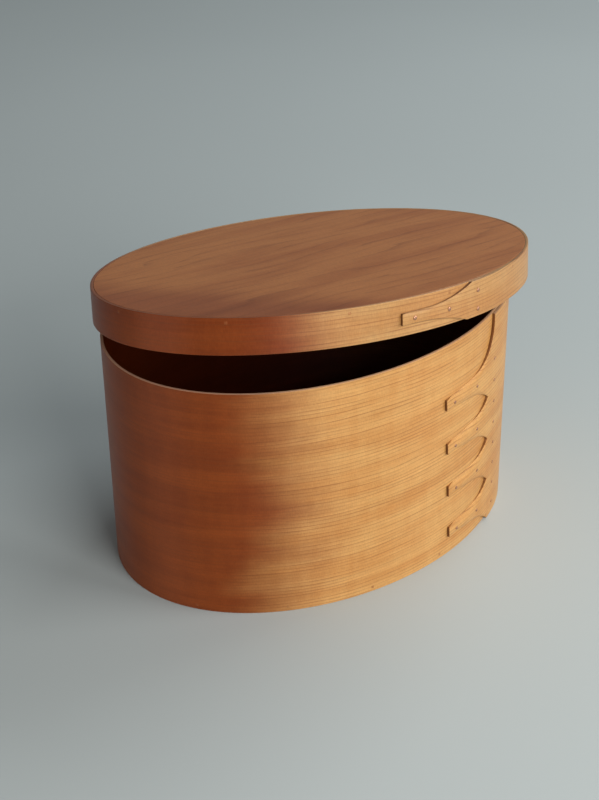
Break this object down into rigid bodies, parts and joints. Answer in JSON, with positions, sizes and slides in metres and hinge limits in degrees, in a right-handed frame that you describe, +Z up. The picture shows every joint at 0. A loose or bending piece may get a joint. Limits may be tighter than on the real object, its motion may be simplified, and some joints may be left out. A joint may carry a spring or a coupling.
{
  "type": "oval box",
  "caption": "Large oval box of bent wood with swallowtail finger laps and copper tacks, its loose lid resting ajar on the rim.",
  "frame": {"origin": "middle of the base, on the surface that the box stands on", "axes": "+Z up; +X along the oval's long axis, towards the end that the lid leans over; -Y is the front, which carries the finger laps"},
  "size_m": [0.3777, 0.2829, 0.252],
  "materials": {
    "band_wood": "satin oil and wax on figured cherry bent to the oval",
    "board_wood": "satin oil and wax on flat cherry board",
    "peg_wood": "end grain cut flush and oiled",
    "copper": "hammered copper, dulled by oil and handling"
  },
  "bodies": {
    "root": {"bottom_board": "board_wood", "bottom_peg_01": "peg_wood", "bottom_peg_02": "peg_wood", "bottom_peg_03": "peg_wood", "bottom_peg_04": "peg_wood", "bottom_peg_05": "peg_wood", "bottom_peg_06": "peg_wood", "bottom_peg_07": "peg_wood", "bottom_peg_08": "peg_wood", "bottom_peg_09": "peg_wood", "bottom_peg_10": "peg_wood", "bottom_peg_11": "peg_wood", "bottom_peg_12": "peg_wood", "bottom_peg_13": "peg_wood", "bottom_peg_14": "peg_wood", "box_band": "band_wood", "box_tack_1_1": "copper", "box_tack_1_2": "copper", "box_tack_1_3": "copper", "box_tack_1_4": "copper", "box_tack_2_1": "copper", "box_tack_2_2": "copper", "box_tack_2_3": "copper", "box_tack_2_4": "copper", "box_tack_3_1": "copper", "box_tack_3_2": "copper", "box_tack_3_3": "copper", "box_tack_3_4": "copper", "box_tack_4_1": "copper", "box_tack_4_2": "copper", "box_tack_4_3": "copper", "box_tack_4_4": "copper"},
    "lid": {"lid_band": "band_wood", "lid_board": "board_wood", "lid_peg_01": "peg_wood", "lid_peg_02": "peg_wood", "lid_peg_03": "peg_wood", "lid_peg_04": "peg_wood", "lid_peg_05": "peg_wood", "lid_peg_06": "peg_wood", "lid_peg_07": "peg_wood", "lid_peg_08": "peg_wood", "lid_peg_09": "peg_wood", "lid_peg_10": "peg_wood", "lid_peg_11": "peg_wood", "lid_peg_12": "peg_wood", "lid_tack_1": "copper", "lid_tack_2": "copper", "lid_tack_3": "copper", "lid_tack_4": "copper"}
  },
  "joints": [
    {"name": "lid_tilt", "type": "hinge", "parent": "root", "child": "lid", "pos_m": [0.12342, 0.0933, 0.17025], "axis": [-0.8192, 0.5736, 0], "range_deg": [-10.3, 50]}
  ]
}
